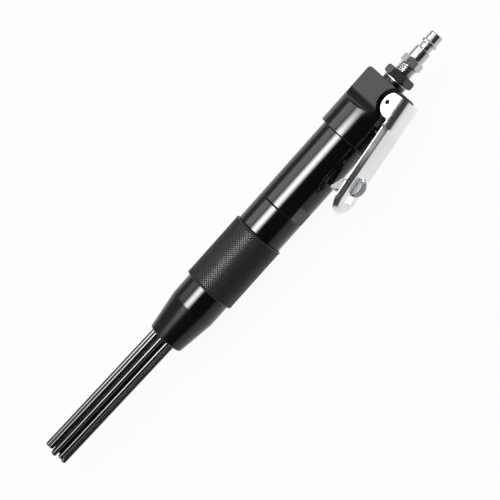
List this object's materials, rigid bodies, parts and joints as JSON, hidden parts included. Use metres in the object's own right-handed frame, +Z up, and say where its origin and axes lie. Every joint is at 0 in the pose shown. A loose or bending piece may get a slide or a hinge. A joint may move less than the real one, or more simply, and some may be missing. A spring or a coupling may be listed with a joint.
{
  "type": "needle scaler",
  "caption": "Inline compressed-air needle scaler with a squeeze throttle lever, lock-off latch, knurled collar and a bundle of steel needles that chips rust and scale",
  "frame": {"origin": "on the tool axis at the end face of the air plug", "axes": "+X along the tool axis from the air plug to the needles, +Y towards the throttle lever, +Z up with the tool lying on its side"},
  "size_m": [0.3949, 0.0607, 0.0416],
  "materials": {
    "plug_chrome": "bright chrome plating",
    "fitting_black": "black oxide steel, satin",
    "bright_steel": "ground steel",
    "brass": "plain brass",
    "head_black": "gloss black coating, satin on the milled flats",
    "barrel_black": "gloss black coating",
    "nose_black": "gloss black coating, satin on the taper",
    "collar_black": "matt black over a fine diamond knurl",
    "lever_chrome": "bright chrome plating on pressed steel",
    "latch_steel": "plated sheet steel",
    "pin_steel": "plain steel pin",
    "spring_steel": "spring wire",
    "needle_steel": "dark tempered steel",
    "seal_rubber": "black rubber"
  },
  "bodies": {
    "root": {"hose_plug": "plug_chrome", "inlet_bushing": "fitting_black", "inlet_seal": "bright_steel", "inlet_screen": "brass", "valve_head": "head_black", "stem_bushing": "brass", "stem_seal": "seal_rubber", "throttle_spring": "spring_steel", "valve_plug": "fitting_black", "lever_pin": "pin_steel", "barrel": "barrel_black", "barrel_seal": "seal_rubber", "valve_chest": "bright_steel", "valve_seat": "bright_steel", "front_adaptor": "barrel_black", "adaptor_seal": "seal_rubber", "anvil_buffer": "seal_rubber", "knurled_collar": "collar_black", "nose_sleeve": "nose_black", "return_spring": "spring_steel"},
    "lever": {"throttle_lever": "lever_chrome", "latch_pin": "pin_steel", "latch_spring": "spring_steel"},
    "latch": {"safety_latch": "latch_steel"},
    "stem": {"throttle_stem": "bright_steel", "throttle_ball": "bright_steel"},
    "distributor": {"valve_plate": "bright_steel"},
    "piston": {"piston": "bright_steel"},
    "anvil": {"anvil": "bright_steel"},
    "holder": {"needle_holder": "bright_steel"},
    "needle_01": {"needle_01": "needle_steel"},
    "needle_02": {"needle_02": "needle_steel"},
    "needle_03": {"needle_03": "needle_steel"},
    "needle_04": {"needle_04": "needle_steel"},
    "needle_05": {"needle_05": "needle_steel"},
    "needle_06": {"needle_06": "needle_steel"},
    "needle_07": {"needle_07": "needle_steel"},
    "needle_08": {"needle_08": "needle_steel"},
    "needle_09": {"needle_09": "needle_steel"},
    "needle_10": {"needle_10": "needle_steel"},
    "needle_11": {"needle_11": "needle_steel"},
    "needle_12": {"needle_12": "needle_steel"}
  },
  "joints": [
    {"name": "lever_squeeze", "type": "hinge", "parent": "root", "child": "lever", "pos_m": [0.0566, 0.0151, 0], "axis": [0, 0, -1], "range_deg": [0, 6.5], "stiffness_Nm_per_rad": 1.5, "springref_deg": -6.88},
    {"name": "latch_fold", "type": "hinge", "parent": "lever", "child": "latch", "pos_m": [0.11347, 0.03292, 0], "axis": [0, 0, 1], "range_deg": [0, 36]},
    {"name": "throttle_press", "type": "slide", "parent": "root", "child": "stem", "axis": [0, -1, 0], "range_m": [0, 0.0029], "deforming": ["throttle_spring"]},
    {"name": "piston_stroke", "type": "slide", "parent": "root", "child": "piston", "axis": [1, 0, 0], "range_m": [0, 0.012]},
    {"name": "distributor_flutter", "type": "slide", "parent": "root", "child": "distributor", "axis": [1, 0, 0], "range_m": [-0.0002, 0.0002]},
    {"name": "needle_pack_slide", "type": "slide", "parent": "root", "child": "holder", "axis": [1, 0, 0], "range_m": [0, 0.006], "stiffness_N_per_m": 1500, "springref_m": -0.004, "deforming": ["return_spring"]},
    {"name": "anvil_slide", "type": "slide", "parent": "root", "child": "anvil", "axis": [1, 0, 0], "range_m": [0, 0.006]},
    {"name": "needle_01_slide", "type": "slide", "parent": "holder", "child": "needle_01", "axis": [0.9997, -0.0186, 0.013], "range_m": [-0.00125, 0.00175]},
    {"name": "needle_02_slide", "type": "slide", "parent": "holder", "child": "needle_02", "axis": [0.9997, -0.0186, 0.013], "range_m": [-0.0025, 0.0005]},
    {"name": "needle_03_slide", "type": "slide", "parent": "holder", "child": "needle_03", "axis": [0.9997, -0.0186, 0.013], "range_m": [-0.00075, 0.00225]},
    {"name": "needle_04_slide", "type": "slide", "parent": "holder", "child": "needle_04", "axis": [0.9997, -0.0186, 0.013], "range_m": [-0.002, 0.001]},
    {"name": "needle_05_slide", "type": "slide", "parent": "holder", "child": "needle_05", "axis": [0.9997, -0.0186, 0.013], "range_m": [-0.00025, 0.00275]},
    {"name": "needle_06_slide", "type": "slide", "parent": "holder", "child": "needle_06", "axis": [0.9997, -0.0186, 0.013], "range_m": [-0.0015, 0.0015]},
    {"name": "needle_07_slide", "type": "slide", "parent": "holder", "child": "needle_07", "axis": [0.9997, -0.0186, 0.013], "range_m": [-0.00275, 0.00025]},
    {"name": "needle_08_slide", "type": "slide", "parent": "holder", "child": "needle_08", "axis": [0.9997, -0.0186, 0.013], "range_m": [-0.001, 0.002]},
    {"name": "needle_09_slide", "type": "slide", "parent": "holder", "child": "needle_09", "axis": [0.9997, -0.0186, 0.013], "range_m": [-0.00225, 0.00075]},
    {"name": "needle_10_slide", "type": "slide", "parent": "holder", "child": "needle_10", "axis": [0.9997, -0.0186, 0.013], "range_m": [-0.0005, 0.0025]},
    {"name": "needle_11_slide", "type": "slide", "parent": "holder", "child": "needle_11", "axis": [0.9997, -0.0186, 0.013], "range_m": [-0.00175, 0.00125]},
    {"name": "needle_12_slide", "type": "slide", "parent": "holder", "child": "needle_12", "axis": [0.9997, -0.0186, 0.013], "range_m": [0, 0.003]}
  ],
  "couplings": [
    {"joint": "latch_fold", "follows": "lever_squeeze", "ratio": 5.5385},
    {"joint": "throttle_press", "follows": "lever_squeeze", "m_per_rad": 0.025386},
    {"joint": "anvil_slide", "follows": "needle_pack_slide", "ratio": 1}
  ]
}
